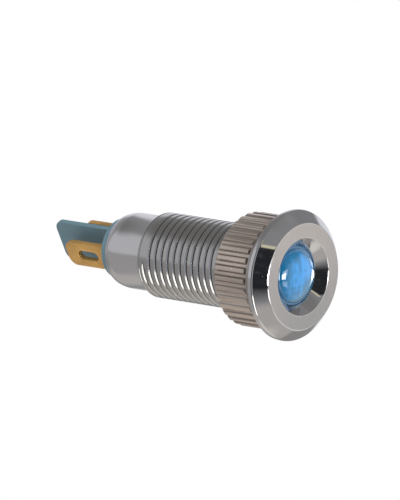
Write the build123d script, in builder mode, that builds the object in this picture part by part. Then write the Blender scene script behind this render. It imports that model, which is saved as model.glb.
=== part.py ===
from build123d import *
import os
from math import cos, radians, sin

# Panel pilot light for an 8 mm hole, in millimetres. The barrel's axis is Y: the bezel faces -Y and the
# solder lugs point to +Y, with +Z up. The origin is the centre of the seat that meets the panel.

os.makedirs("parts", exist_ok=True)

# Bezel, the flange that shows in front of the panel
bezel_diameter = 12.2
bezel_height = 1.65
rim_height = 0.58
rim_break = 0.12
bezel_bevel = 1.06
recess_flare = 0.86
recess_depth = 1.0
shoulder_width = 0.25

# Barrel with its thread between neck and collar, and plain rear sleeve
barrel_diameter = 8.0
barrel_length = 15.4
barrel_chamfer = 0.22
thread_pitch = 0.75
thread_depth = 0.2
thread_mouth_width = 0.26
thread_floor_width = 0.08
neck_length = 1.14
collar_length = 0.92
cutter_overrun = 0.06
sleeve_diameter = 7.12
body_length = 20.0
bore_diameter = 6.0
shoulder_depth = 0.3
lip_width = 0.13
lip_length = 0.35
roll_length = 1.7

# Seal under the bezel, in a square groove
panel_seal_section = 0.9
panel_seal_inset = 0.15
panel_seal_lift = 0.3
groove_clearance = 0.1

# Lens and its gasket
lens_dome_step = 0.22
lens_dome_height = 0.95
lens_ring_depth = 0.06
lens_flange_thickness = 0.6
lens_seal_thickness = 0.25
lens_wall = 0.53
lens_pocket_depth = 0.75
window_clearance = 0.03
bore_clearance = 0.05

# Light-emitting diode of 5 mm size
bulb_rim_width = 0.4
bulb_rim_thickness = 1.0
bulb_gap = 0.3
lead_width = 0.5
lead_spacing = 2.54
frame_height = 5.0
anvil_width = 1.9
anvil_thickness = 1.3
anvil_height = 1.5
cup_diameter = 1.1
cup_floor_diameter = 0.7
cup_depth = 0.45
post_width = 0.8
post_gap = 0.25
chip_width = 0.32
chip_height = 0.2
bond_wire_diameter = 0.06
bond_wire_rise = 0.45

# Holder for the bulb and sleeve that insulates the circuit
holder_slots = 4
holder_slot_width = 0.6
holder_slot_length = 3.0
bulb_clearance = 0.05
liner_wall = 0.2

# Circuit across the barrel
disc_thickness = 0.8
disc_clearance = 0.05
disc_standoff = 1.65
lead_hole_diameter = 0.84
wire_diameter = 0.5
wire_hole_diameter = 0.6
joint_height = 0.4
joint_foot = 0.3
lug_joint_length = 0.7
lug_joint_cover = 0.12
solder_film = 0.04
lead_joint_tip = 0.4
wire_joint_tip = 0.32
lead_overlap = 0.85
component_standoff = 0.7
component_tail_gap = 0.3
resistor_length = 3.2
resistor_diameter = 1.7
resistor_waist_diameter = 1.5
resistor_cap_length = 0.75
diode_length = 3.0
diode_diameter = 1.6
diode_plug_diameter = 0.9
diode_plug_length = 1.3

# Insulator and lugs behind the sleeve, turned about the barrel's axis
clock_angle = 27.0
insulator_base_length = 2.05
insulator_boss_clearance = 0.07
insulator_boss_rise = 0.6
fin_thickness = 0.5
fin_width = 4.46
fin_length = 7.35
fin_corner = 0.95
fin_edge = 0.1
lug_width = 2.6
lug_thickness = 0.5
lug_offset = 1.6
lug_length = 5.23
lug_embedded = 2.3
lug_corner = 0.85
tail_width = 1.2
tail_overlap = 1.2
eye_length = 2.45
eye_width = 1.0
eye_from_tip = 2.6

# Lock washer and nut
washer_diameter = 10.5
washer_thickness = 0.55
washer_ring_width = 0.65
washer_teeth = 10
washer_tooth_width = 1.1
washer_gap = 0.03
nut_diameter = 10.62
nut_length = 3.9
nut_edge = 0.24
nut_flutes = 34
flute_width = 0.56
flute_floor = 0.32
flute_depth = 0.24
thread_clearance = 0.05
washer_clearance = 0.12

# Diameters that follow the bore or the bezel
window_diameter = bore_diameter - 2 * shoulder_width
recess_mouth_diameter = window_diameter + 2 * recess_flare
front_diameter = bezel_diameter - 2 * bezel_bevel
panel_seal_diameter = (barrel_diameter + bezel_diameter) / 2 - 2 * panel_seal_inset
fit_diameter = bore_diameter - 2 * bore_clearance
lip_diameter = bore_diameter - 2 * lip_width
insulator_boss_diameter = lip_diameter - 2 * insulator_boss_clearance
lens_dome_diameter = window_diameter - 2 * lens_dome_step
lens_pocket_diameter = lens_dome_diameter - 2 * lens_wall
bulb_rim_diameter = fit_diameter - 2 * bulb_clearance
bulb_diameter = bulb_rim_diameter - 2 * bulb_rim_width

# Places along the barrel that several pieces share: from the front to the bulb, then from the rear to it
bezel_front = -bezel_height
window_front = bezel_front + recess_depth
lens_seal_back = shoulder_depth + lens_seal_thickness
lens_back = lens_seal_back + lens_flange_thickness
pocket_floor = lens_back - lens_pocket_depth
bulb_tip = pocket_floor + bulb_gap
lip_front = body_length - lip_length
insulator_back = lip_front - bore_clearance
insulator_front = insulator_back - insulator_base_length
boss_back = body_length + insulator_boss_rise
lug_inner_end = boss_back - lug_embedded
tail_end = insulator_front - tail_overlap
resistor_back = tail_end - component_tail_gap
component_front = resistor_back - resistor_length
disc_back = component_front - component_standoff - joint_height
disc_front = disc_back - disc_thickness
bulb_back = disc_front - disc_standoff
bulb_rim_front = bulb_back - bulb_rim_thickness
washer_front = panel_seal_lift + washer_gap
nut_front = washer_front + washer_thickness
component_offset = lug_offset - lug_thickness / 2 - wire_diameter / 2 - solder_film

# Directions across the barrel: towards one lug, and along the lugs' width
turn = radians(clock_angle)
towards_lug = (-cos(turn), 0, -sin(turn))
along_width = (-sin(turn), 0, cos(turn))


def across(y, facing=1):
    """Plane square to the barrel at y, facing +Y or -Y, with its x towards the positive lug."""
    return Plane(origin=(0, y, 0), x_dir=towards_lug, z_dir=(0, facing, 0))


# Plane of the diode's lead frame, with its x along the lugs' width and its y as Y
frame_plane = Plane(origin=(0, 0, 0), x_dir=along_width, z_dir=towards_lug)

# Body: bezel, barrel, collar and sleeve, turned as one piece, with its rear edge rolled over the insulator.
# The thread is one right-handed groove from the neck to the collar.
rim_radius = bezel_diameter / 2
sleeve_radius = sleeve_diameter / 2
lip_radius = lip_diameter / 2
roll_base = body_length - roll_length
groove_half_width = panel_seal_section / 2 + groove_clearance
groove_depth = panel_seal_section - panel_seal_lift
thread_length = barrel_length - collar_length - neck_length
thread_floor_radius = barrel_diameter / 2 - thread_depth
thread_flank = (thread_mouth_width - thread_floor_width) / 2 / thread_depth
cutter_height = thread_depth + cutter_overrun
cutter_half_width = thread_floor_width / 2 + thread_flank * cutter_height

with BuildPart() as body:
    with BuildSketch(Plane.XY):
        with BuildLine():
            outside = Polyline(
                (window_diameter / 2, shoulder_depth),
                (window_diameter / 2, window_front),
                (recess_mouth_diameter / 2, bezel_front),
                (front_diameter / 2, bezel_front),
                (rim_radius, -rim_height),
                (rim_radius, -rim_break),
                (rim_radius - rim_break, 0),
                (barrel_diameter / 2, 0),
                (barrel_diameter / 2, barrel_length - barrel_chamfer),
                (barrel_diameter / 2 - barrel_chamfer, barrel_length),
                (sleeve_radius, barrel_length),
                (sleeve_radius, roll_base),
            )
            rolled_edge = EllipticalCenterArc(
                (lip_radius, roll_base), sleeve_radius - lip_radius, roll_length, 0, arc_size=90
            )
            Polyline(
                rolled_edge @ 1,
                (lip_radius, lip_front + bore_diameter / 2 - lip_radius),
                (bore_diameter / 2, lip_front),
                (bore_diameter / 2, shoulder_depth),
                outside @ 0,
            )
        make_face()
    revolve(axis=Axis.Y)
    with BuildSketch(Plane.XY):
        with Locations((panel_seal_diameter / 2, -groove_depth / 2)):
            Rectangle(2 * groove_half_width, groove_depth)
    revolve(axis=Axis.Y, mode=Mode.SUBTRACT)
    with BuildLine() as thread:
        Helix(thread_pitch, thread_length, thread_floor_radius, (0, neck_length, 0), direction=(0, 1, 0))
    with BuildSketch(Plane(origin=thread.line @ 0, x_dir=(0, 0, 1), z_dir=thread.line % 0)):
        with BuildLine():
            Polyline(
                (0, -thread_floor_width / 2),
                (cutter_height, -cutter_half_width),
                (cutter_height, cutter_half_width),
                (0, thread_floor_width / 2),
                close=True,
            )
        make_face()
    sweep(path=thread.line, is_frenet=True, mode=Mode.SUBTRACT)
body.part.label = "body"
export_step(body.part, "parts/body.step")

# Panel seal: a round section ring that stands out of its groove
with BuildPart() as panel_seal:
    with BuildSketch(Plane.XY):
        with Locations((panel_seal_diameter / 2, panel_seal_lift - panel_seal_section / 2)):
            Circle(panel_seal_section / 2)
    revolve(axis=Axis.Y)
panel_seal.part.label = "panel_seal"
export_step(panel_seal.part, "parts/panel_seal.step")

# Lens: a low dome on a stem that fills the window, with a flange behind the shoulder
stem_radius = window_diameter / 2 - window_clearance
dome_radius = lens_dome_diameter / 2
dome_base = window_front + lens_ring_depth
pocket_radius = lens_pocket_diameter / 2

with BuildPart() as lens:
    with BuildSketch(Plane.XY):
        with BuildLine():
            dome = EllipticalCenterArc((0, dome_base), dome_radius, lens_dome_height, 270, arc_size=90)
            Polyline(
                dome @ 1,
                (stem_radius, dome_base),
                (stem_radius, lens_seal_back),
                (fit_diameter / 2, lens_seal_back),
                (fit_diameter / 2, lens_back),
                (pocket_radius, lens_back),
            )
            pocket = EllipticalCenterArc((0, lens_back), pocket_radius, lens_pocket_depth, 270, arc_size=90)
            Line(pocket @ 0, dome @ 0)
        make_face()
    revolve(axis=Axis.Y)
lens.part.label = "lens"
export_step(lens.part, "parts/lens.step")

# Lens gasket: flat ring between the shoulder and the lens flange
with BuildPart() as lens_seal:
    with BuildSketch(across(shoulder_depth)):
        Circle(fit_diameter / 2)
        Circle(window_diameter / 2, mode=Mode.SUBTRACT)
    extrude(amount=lens_seal_thickness)
lens_seal.part.label = "lens_seal"
export_step(lens_seal.part, "parts/lens_seal.step")

# Lead frame of the diode: cathode anvil with the cup on the bulb's axis, anode post beside it
frame_front = bulb_back - frame_height
lead_end = disc_back + joint_height
cup_floor = frame_front + cup_depth
lead_x = lead_spacing / 2
post_edge = anvil_width / 2 + post_gap

with BuildPart() as led_cathode:
    with BuildSketch(across(frame_front)):
        Rectangle(anvil_thickness, anvil_width)
    extrude(amount=anvil_height)
    with BuildSketch(frame_plane):
        with BuildLine():
            Polyline(
                (-anvil_width / 2, frame_front + anvil_height / 2),
                (0, frame_front + anvil_height / 2),
                (0, frame_front + anvil_height),
                (-lead_x + lead_width / 2, frame_front + 2 * anvil_height),
                (-lead_x + lead_width / 2, lead_end),
                (-lead_x - lead_width / 2, lead_end),
                (-lead_x - lead_width / 2, frame_front + 2 * anvil_height),
                close=True,
            )
        make_face()
    extrude(amount=lead_width / 2, both=True)
    with BuildSketch(across(frame_front)):
        Circle(cup_diameter / 2)
    with BuildSketch(across(cup_floor)):
        Circle(cup_floor_diameter / 2)
    loft(mode=Mode.SUBTRACT)
led_cathode.part.label = "led_cathode"
export_step(led_cathode.part, "parts/led_cathode.step")

with BuildPart() as led_anode:
    with BuildSketch(frame_plane):
        with BuildLine():
            Polyline(
                (post_edge, frame_front),
                (post_edge + post_width, frame_front),
                (post_edge + post_width, frame_front + anvil_height),
                (lead_x + lead_width / 2, frame_front + 2 * anvil_height),
                (lead_x + lead_width / 2, lead_end),
                (lead_x - lead_width / 2, lead_end),
                (lead_x - lead_width / 2, frame_front + 2 * anvil_height),
                (post_edge, frame_front + anvil_height),
                close=True,
            )
        make_face()
    extrude(amount=lead_width / 2, both=True)
led_anode.part.label = "led_anode"
export_step(led_anode.part, "parts/led_anode.step")

# Chip on the floor of the cup
chip_front = cup_floor - chip_height

with BuildPart() as led_chip:
    with BuildSketch(across(chip_front)):
        Rectangle(chip_width, chip_width)
    extrude(amount=chip_height)
led_chip.part.label = "led_chip"
export_step(led_chip.part, "parts/led_chip.step")

# Bond wire: a fine arch from the post to the chip
post_middle = post_edge + post_width / 2

with BuildPart() as led_bond_wire:
    with BuildLine(frame_plane) as arch:
        ThreePointArc(
            (0, chip_front),
            (post_middle / 2, frame_front - bond_wire_rise),
            (post_middle, frame_front),
        )
    with BuildSketch(arch.line ^ 0):
        Circle(bond_wire_diameter / 2)
    sweep()
led_bond_wire.part.label = "led_bond_wire"
export_step(led_bond_wire.part, "parts/led_bond_wire.step")

# Bulb: clear epoxy cast round the lead frame, with a flat on its rim at the cathode side
bulb_radius = bulb_diameter / 2
bulb_rim_radius = bulb_rim_diameter / 2

with BuildPart() as led_bulb:
    with BuildSketch(Plane.XY):
        with BuildLine():
            tip = CenterArc((0, bulb_tip + bulb_radius), bulb_radius, -90, 90)
            Polyline(
                tip @ 1,
                (bulb_radius, bulb_rim_front),
                (bulb_rim_radius, bulb_rim_front),
                (bulb_rim_radius, bulb_back),
                (0, bulb_back),
                tip @ 0,
            )
        make_face()
    revolve(axis=Axis.Y)
    with BuildSketch(across(bulb_rim_front)):
        with Locations((0, -bulb_rim_radius)):
            Rectangle(bulb_rim_diameter, 2 * (bulb_rim_radius - bulb_radius))
    extrude(amount=bulb_rim_thickness, mode=Mode.SUBTRACT)
    add(led_cathode.part, mode=Mode.SUBTRACT)
    add(led_anode.part, mode=Mode.SUBTRACT)
    add(led_chip.part, mode=Mode.SUBTRACT)
    add(led_bond_wire.part, mode=Mode.SUBTRACT)
led_bulb.part.label = "led_bulb"
export_step(led_bulb.part, "parts/led_bulb.step")

# Bulb holder: tube between the lens flange and the bulb's rim, slotted at its rear
with BuildPart() as led_holder:
    with BuildSketch(across(lens_back)):
        Circle(fit_diameter / 2)
        Circle(bulb_radius + bulb_clearance, mode=Mode.SUBTRACT)
    extrude(amount=bulb_rim_front - lens_back)
    with BuildSketch(across(bulb_rim_front - holder_slot_length)):
        with PolarLocations(fit_diameter / 2, holder_slots):
            Rectangle(bulb_diameter / 2, holder_slot_width)
    extrude(amount=holder_slot_length, mode=Mode.SUBTRACT)
led_holder.part.label = "led_holder"
export_step(led_holder.part, "parts/led_holder.step")

# Insulating sleeve: tube from the bulb's rim to the insulator
liner_radius = fit_diameter / 2 - liner_wall

with BuildPart() as insulating_sleeve:
    with BuildSketch(across(bulb_back)):
        Circle(fit_diameter / 2)
        Circle(liner_radius, mode=Mode.SUBTRACT)
    extrude(amount=insulator_front - bulb_back)
insulating_sleeve.part.label = "insulating_sleeve"
export_step(insulating_sleeve.part, "parts/insulating_sleeve.step")

# Circuit disc, with holes for the diode's leads and for the two components
lead_places = [(0, lead_x), (0, -lead_x)]
wire_places = [(component_offset, 0), (-component_offset, 0)]

with BuildPart() as circuit_disc:
    with BuildSketch(across(disc_front)):
        Circle(liner_radius - disc_clearance)
        with Locations(*lead_places):
            Circle(lead_hole_diameter / 2, mode=Mode.SUBTRACT)
        with Locations(*wire_places):
            Circle(wire_hole_diameter / 2, mode=Mode.SUBTRACT)
    extrude(amount=disc_thickness)
circuit_disc.part.label = "circuit_disc"
export_step(circuit_disc.part, "parts/circuit_disc.step")

# Series resistor: ceramic body with a cap at each end
wire_front = disc_front - joint_height
wire_back = tail_end + lead_overlap

with BuildPart() as series_resistor:
    with BuildSketch(across(component_front)):
        with Locations(wire_places[0]):
            Circle(resistor_waist_diameter / 2)
    extrude(amount=resistor_length)
    with BuildSketch(across(component_front), across(resistor_back - resistor_cap_length)):
        with Locations(wire_places[0]):
            Circle(resistor_diameter / 2)
    extrude(amount=resistor_cap_length)
    cap_rings = series_resistor.edges().filter_by(GeomType.CIRCLE)
    cap_edges = [ring for ring in cap_rings if abs(ring.radius - resistor_diameter / 2) < 0.001]
    fillet(cap_edges, (resistor_diameter - resistor_waist_diameter) * 0.45)
series_resistor.part.label = "series_resistor"
export_step(series_resistor.part, "parts/series_resistor.step")

with BuildPart() as resistor_leads:
    with BuildSketch(across(wire_front)):
        with Locations(wire_places[0]):
            Circle(wire_diameter / 2)
    extrude(amount=component_front - wire_front)
    with BuildSketch(across(resistor_back)):
        with Locations(wire_places[0]):
            Circle(wire_diameter / 2)
    extrude(amount=wire_back - resistor_back)
resistor_leads.part.label = "resistor_leads"
export_step(resistor_leads.part, "parts/resistor_leads.step")

# Protection diode: glass tube on two wires, each with a plug inside the glass
diode_back = component_front + diode_length

with BuildPart() as diode_leads:
    with BuildSketch(across(wire_front)):
        with Locations(wire_places[1]):
            Circle(wire_diameter / 2)
    extrude(amount=component_front - wire_front)
    with BuildSketch(across(diode_back)):
        with Locations(wire_places[1]):
            Circle(wire_diameter / 2)
    extrude(amount=wire_back - diode_back)
    with BuildSketch(across(component_front), across(diode_back - diode_plug_length)):
        with Locations(wire_places[1]):
            Circle(diode_plug_diameter / 2)
    extrude(amount=diode_plug_length)
diode_leads.part.label = "diode_leads"
export_step(diode_leads.part, "parts/diode_leads.step")

with BuildPart() as protection_diode:
    with BuildSketch(across(component_front)):
        with Locations(wire_places[1]):
            Circle(diode_diameter / 2)
    extrude(amount=diode_length)
    fillet(protection_diode.edges(), (diode_diameter - diode_plug_diameter) * 0.4)
    add(diode_leads.part, mode=Mode.SUBTRACT)
protection_diode.part.label = "protection_diode"
export_step(protection_diode.part, "parts/protection_diode.step")

# Solder lugs: flat blades with a slotted eye outside and a narrower tail inside
lug_tip = boss_back + lug_length


def lug_blade(side):
    """Outline of one lug, drawn on its own middle plane and given its thickness."""
    plane = Plane(
        origin=(towards_lug[0] * lug_offset * side, 0, towards_lug[2] * lug_offset * side),
        x_dir=along_width,
        z_dir=towards_lug,
    )
    with BuildPart() as blade:
        with BuildSketch(plane):
            with Locations((0, (lug_inner_end + lug_tip) / 2)):
                outline = Rectangle(lug_width, lug_tip - lug_inner_end)
            tip_corners = outline.vertices().sort_by(Axis.Y)[-2:]
            fillet(tip_corners, lug_corner)
            with Locations((0, (tail_end + lug_inner_end) / 2)):
                Rectangle(tail_width, lug_inner_end - tail_end)
            with Locations((0, lug_tip - eye_from_tip)):
                SlotOverall(eye_length, eye_width, rotation=90, mode=Mode.SUBTRACT)
        extrude(amount=lug_thickness / 2, both=True)
    return blade.part


with BuildPart() as terminal_positive:
    add(lug_blade(1))
terminal_positive.part.label = "terminal_positive"
export_step(terminal_positive.part, "parts/terminal_positive.step")

with BuildPart() as terminal_negative:
    add(lug_blade(-1))
terminal_negative.part.label = "terminal_negative"
export_step(terminal_negative.part, "parts/terminal_negative.step")

# Insulator: base held by the rolled edge, boss through it, and the fin that parts the lugs
boss_radius = insulator_boss_diameter / 2

with BuildPart() as insulator:
    with BuildSketch(Plane.XY):
        with BuildLine():
            Polyline(
                (0, insulator_front),
                (fit_diameter / 2, insulator_front),
                (fit_diameter / 2, insulator_back),
                (boss_radius, insulator_back + fit_diameter / 2 - boss_radius),
                (boss_radius, boss_back),
                (0, boss_back),
                close=True,
            )
        make_face()
    revolve(axis=Axis.Y)
    with BuildSketch(frame_plane):
        with Locations((0, boss_back + fin_length / 2)):
            fin_outline = Rectangle(fin_width, fin_length)
        fillet(fin_outline.vertices().sort_by(Axis.Y)[-2:], fin_corner)
    extrude(amount=fin_thickness / 2, both=True)
    fin_faces = insulator.faces().filter_by(frame_plane)
    fillet(fin_faces.edges().filter_by(lambda edge: edge.center().Y > boss_back + fin_edge), fin_edge)
    add(terminal_positive.part, mode=Mode.SUBTRACT)
    add(terminal_negative.part, mode=Mode.SUBTRACT)
insulator.part.label = "insulator"
export_step(insulator.part, "parts/insulator.step")

# Solder joints: at the diode's leads behind the disc, at the components' wires before it, and at the lugs
lug_face = lug_offset - lug_thickness / 2
lug_joint_depth = wire_diameter + solder_film + lug_joint_cover
lug_joint_half_width = wire_diameter / 2 + 2 * lug_joint_cover
foot_first = (Align.CENTER, Align.CENTER, Align.MIN)

with BuildPart() as solder_joints:
    with Locations(across(disc_back)):
        with Locations(*lead_places):
            Cone(lead_joint_tip + joint_foot, lead_joint_tip, joint_height, align=foot_first)
    with Locations(across(disc_front, facing=-1)):
        with Locations(*wire_places):
            Cone(wire_joint_tip + joint_foot, wire_joint_tip, joint_height, align=foot_first)
    with BuildSketch(across(wire_back - lug_joint_length)):
        with Locations((lug_face, 0), (-lug_face, 0)):
            Ellipse(lug_joint_depth, lug_joint_half_width)
        Rectangle(2 * lug_face, tail_width, mode=Mode.INTERSECT)
    extrude(amount=lug_joint_length)
    for wired in (led_anode, led_cathode, resistor_leads, diode_leads):
        add(wired.part, mode=Mode.SUBTRACT)
solder_joints.part.label = "solder_joints"
export_step(solder_joints.part, "parts/solder_joints.step")

# Lock washer: ring with teeth that point in to the thread
washer_radius = washer_diameter / 2
tooth_tip_radius = barrel_diameter / 2 + washer_clearance

with BuildPart() as lock_washer:
    with BuildSketch(across(washer_front)):
        Circle(washer_radius)
        Circle(washer_radius - washer_ring_width, mode=Mode.SUBTRACT)
        with PolarLocations((washer_radius + tooth_tip_radius) / 2 - washer_ring_width / 2, washer_teeth):
            Rectangle(washer_radius - tooth_tip_radius, washer_tooth_width)
        Circle(tooth_tip_radius, mode=Mode.SUBTRACT)
    extrude(amount=washer_thickness)
lock_washer.part.label = "lock_washer"
export_step(lock_washer.part, "parts/lock_washer.step")

# Nut: bevelled ring with straight flutes, so that the broad lands between them make the knurl
nut_radius = nut_diameter / 2
nut_bore_radius = barrel_diameter / 2 + thread_clearance
flute_slope = (flute_width - flute_floor) / 2 / flute_depth
flute_over = 0.1
flute_top = flute_width / 2 + flute_slope * flute_over

with BuildPart() as nut:
    with BuildSketch(across(nut_front)):
        Circle(nut_radius)
        Circle(nut_bore_radius, mode=Mode.SUBTRACT)
    extrude(amount=nut_length)
    chamfer(nut.edges().filter_by(GeomType.CIRCLE), nut_edge)
    with BuildSketch(across(nut_front)):
        with PolarLocations(nut_radius, nut_flutes):
            Polygon(
                (-flute_depth, -flute_floor / 2),
                (flute_over, -flute_top),
                (flute_over, flute_top),
                (-flute_depth, flute_floor / 2),
                align=None,
            )
    extrude(amount=nut_length, mode=Mode.SUBTRACT)
nut.part.label = "nut"
export_step(nut.part, "parts/nut.step")
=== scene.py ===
"""Panel pilot light for an 8 mm hole: visible pieces, finishes and stage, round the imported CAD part.

Lengths are metres, in the CAD part's own frame: the barrel's axis is Y, the bezel faces -Y and +Z is up.
"""

import math

import bpy
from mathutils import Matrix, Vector


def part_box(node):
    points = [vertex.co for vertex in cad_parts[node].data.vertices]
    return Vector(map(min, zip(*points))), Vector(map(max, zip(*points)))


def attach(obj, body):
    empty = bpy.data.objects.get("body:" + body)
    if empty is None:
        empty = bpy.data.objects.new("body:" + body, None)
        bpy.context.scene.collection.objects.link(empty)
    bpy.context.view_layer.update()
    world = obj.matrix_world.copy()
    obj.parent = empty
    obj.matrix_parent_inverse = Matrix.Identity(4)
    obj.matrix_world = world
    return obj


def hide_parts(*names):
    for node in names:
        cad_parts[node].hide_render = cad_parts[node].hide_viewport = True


bl_info = {
    "name": "Panel pilot light",
    "version": (1, 0, 0),
    "blender": (4, 5, 0),
    "location": "3D View > Sidebar > Pilot light",
    "description": "Models an 8 mm panel pilot light, its finishes and its stage",
    "category": "Add Mesh",
}

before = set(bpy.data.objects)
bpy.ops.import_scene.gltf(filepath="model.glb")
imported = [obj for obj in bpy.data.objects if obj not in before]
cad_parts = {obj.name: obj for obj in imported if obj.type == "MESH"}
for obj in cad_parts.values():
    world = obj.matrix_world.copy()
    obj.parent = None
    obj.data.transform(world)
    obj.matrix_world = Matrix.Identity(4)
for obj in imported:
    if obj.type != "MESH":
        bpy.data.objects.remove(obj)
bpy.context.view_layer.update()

MM = 0.001
FULL_TURN = 2 * math.pi

# Points nearer than these are one: in a fresh outline or shell, and among copies or beside a cut
MERGE_DISTANCE = 1e-7
SLIVER = 1e-6

# Faces round the barrel's axis
BODY_STEPS = 192
LENS_STEPS = 144
SEAL_STEPS = 144
STEPS_PER_FLUTE = 8
STEPS_PER_THREAD_TURN = 96

# How far the cutters stand out of the surface that they cut
GROOVE_CUTTER_MARGIN = 0.06 * MM
FLUTE_CUTTER_MARGIN = 0.1 * MM

# One side of the thread's groove from the surface to its floor: share of its depth, and distance from its
# middle as a share of its width. The cutter's outer face is wider, and the groove runs out at its ends.
GROOVE_SIDE = ((0.0, 0.50), (0.45, 0.13), (1.0, 0.07))
GROOVE_CUTTER_HALF = 0.80
GROOVE_RUN_OUT = 1.6 * MM

body_low, body_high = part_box("body")
seal_low, seal_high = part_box("panel_seal")
nut_low, nut_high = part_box("nut")
lens_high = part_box("lens")[1]
insulator_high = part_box("insulator")[1]

# Turn of the lugs and of the fin between them about the barrel's axis, as in the CAD part
CLOCK = math.radians(27.0)
TOWARDS_LUG = Vector((-math.cos(CLOCK), 0, -math.sin(CLOCK)))
ALONG_WIDTH = Vector((-math.sin(CLOCK), 0, math.cos(CLOCK)))


def length(name, description, default):
    return bpy.props.FloatProperty(
        name=name, description=description, default=default, unit="LENGTH", precision=5
    )


def colour(name, description, default):
    return bpy.props.FloatVectorProperty(
        name=name, description=description, default=default, subtype="COLOR", size=3, min=0, max=1
    )


class PilotSizes(bpy.types.PropertyGroup):
    """Sizes of the turned, cut and moulded pieces."""

    ring_diameter: length("Front ring", "Outer diameter of the satin ring on the bezel", 9.92 * MM)
    recess_diameter: length("Recess", "Diameter of the recess where it meets the ring", 7.22 * MM)
    window_diameter: length("Window", "Diameter of the hole that the lens fills", 5.5 * MM)
    recess_depth: length("Recess depth", "Depth of the recess", 1.0 * MM)
    shoulder_depth: length("Shoulder", "How far behind the panel seat the lens shoulder lies", 0.3 * MM)
    rim_height: length("Rim height", "Height of the bezel's plain rim", 0.58 * MM)
    rim_break: length("Rim edge", "Bevel at the back of the rim", 0.12 * MM)
    seal_clearance: length("Seal clearance", "Room on each side of the seal in its groove", 0.1 * MM)
    barrel_diameter: length("Barrel", "Outer diameter of the threaded barrel", 8.0 * MM)
    barrel_length: length("Barrel length", "Length of the barrel behind the panel seat", 15.4 * MM)
    barrel_bevel: length("Barrel bevel", "Bevel at the rear of the barrel", 0.32 * MM)
    collar_line: length("Collar line", "Place of the fine turned line on the plain collar", 14.93 * MM)
    collar_line_depth: length("Collar line depth", "Depth of the fine turned line", 0.05 * MM)
    thread_pitch: length("Thread pitch", "Distance from one turn to the next", 0.75 * MM)
    thread_width: length("Groove width", "Width of the thread's groove at the surface", 0.34 * MM)
    thread_depth: length("Groove depth", "Depth of the thread's groove", 0.17 * MM)
    thread_start: length("Thread start", "Where the thread starts behind the panel seat", 1.14 * MM)
    thread_end: length("Thread end", "Where the thread's last groove ends", 14.48 * MM)
    sleeve_diameter: length("Sleeve", "Diameter of the plain rear sleeve", 7.12 * MM)
    bore_diameter: length("Bore", "Diameter of the bore", 6.0 * MM)
    lip_diameter: length("Rolled lip", "Diameter inside the rolled rear edge", 5.74 * MM)
    lip_length: length("Lip length", "Length of the rolled lip", 0.35 * MM)
    roll_length: length("Roll length", "Length over which the sleeve rolls in to the lip", 1.7 * MM)
    rim_round: length("Rim rounding", "Radius where the rim meets the bezel's slope", 0.4 * MM)
    ring_round: length("Ring rounding", "Radius at the outside of the satin ring", 0.27 * MM)
    mouth_round: length("Mouth rounding", "Radius where the recess meets the ring", 0.12 * MM)
    edge_round: length("Edge", "Rounding of the other turned edges", 0.05 * MM)
    nut_bore: length("Nut bore", "Diameter of the nut's bore", 8.1 * MM)
    nut_bevel: length("Nut bevel", "Bevel of the nut's edges", 0.24 * MM)
    flutes: bpy.props.IntProperty(
        name="Flutes", description="Number of flutes round the nut", default=34, min=3
    )
    flute_width: length("Flute width", "Width of a flute at the surface", 0.66 * MM)
    flute_floor: length("Flute floor", "Width of a flute at its floor", 0.24 * MM)
    flute_depth: length("Flute depth", "Depth of a flute", 0.24 * MM)
    flute_round: length("Flute rounding", "Rounding of the nut's edges", 0.06 * MM)
    lens_dome: length("Lens dome", "Diameter of the lens's dome", 5.06 * MM)
    lens_rise: length("Dome rise", "Height of the lens's dome", 0.95 * MM)
    lens_ring: length("Lens ring", "How far behind the window's front the dome's foot lies", 0.06 * MM)
    lens_clearance: length("Lens clearance", "Room round the lens in the window", 0.03 * MM)
    lens_gasket: length("Lens gasket", "Thickness of the gasket in front of the lens's flange", 0.25 * MM)
    lens_pocket: length("Lens pocket", "Diameter of the hollow behind the lens", 4.0 * MM)
    lens_pocket_depth: length("Pocket depth", "Depth of the hollow behind the lens", 0.75 * MM)
    lug_width: length("Lug width", "Width of a solder lug", 2.6 * MM)
    lug_thickness: length("Lug thickness", "Thickness of a solder lug", 0.5 * MM)
    lug_offset: length("Lug offset", "Distance from the axis to a lug's middle", 1.6 * MM)
    lug_corner: length("Lug corner", "Radius of a lug's corners", 0.85 * MM)
    lug_edge: length("Lug edge", "Rounding of a lug's stamped edges", 0.05 * MM)
    tail_width: length("Tail width", "Width of a lug inside the barrel", 1.2 * MM)
    fin_length: length("Fin length", "Length of the fin behind the insulator's boss", 7.35 * MM)
    lug_embedded: length("Lug seat", "How far a lug's full width reaches into the insulator", 2.3 * MM)
    eye_length: length("Eye length", "Length of a lug's eye", 2.45 * MM)
    eye_width: length("Eye width", "Width of a lug's eye", 1.0 * MM)
    eye_from_tip: length("Eye place", "Distance from a lug's tip to the middle of its eye", 2.6 * MM)


class PilotColours(bpy.types.PropertyGroup):
    """Colours of the finishes."""

    chrome: colour("Chrome", "Plated body", (0.66, 0.65, 0.65))
    # Painted sheen: the satin ring goes round from its dull tone to its bright one, as its grain would
    # catch the light
    ring_painted_bright: colour("Ring, bright side", "Satin ring where its grain is brightest", (0.53, 0.495, 0.48))
    ring_painted_dull: colour("Ring, dull side", "Satin ring where its grain is dullest", (0.38, 0.375, 0.38))
    barrel: colour("Barrel", "Turned plating of the barrel", (0.50, 0.49, 0.48))
    nut: colour("Nut", "Warm nickel plating of the nut and washer", (0.70, 0.60, 0.525))
    gold: colour("Gold", "Plated solder lugs", (0.76, 0.45, 0.15))
    insulator: colour("Insulator", "Moulded insulator", (0.088, 0.155, 0.185))
    lens: colour("Lens", "Moulded lens where it is lit most", (0.03, 0.37, 0.90))
    rubber: colour("Rubber", "Panel seal", (0.012, 0.012, 0.013))
    floor: colour("Floor", "Pale floor", (0.86, 0.86, 0.86))


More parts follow.
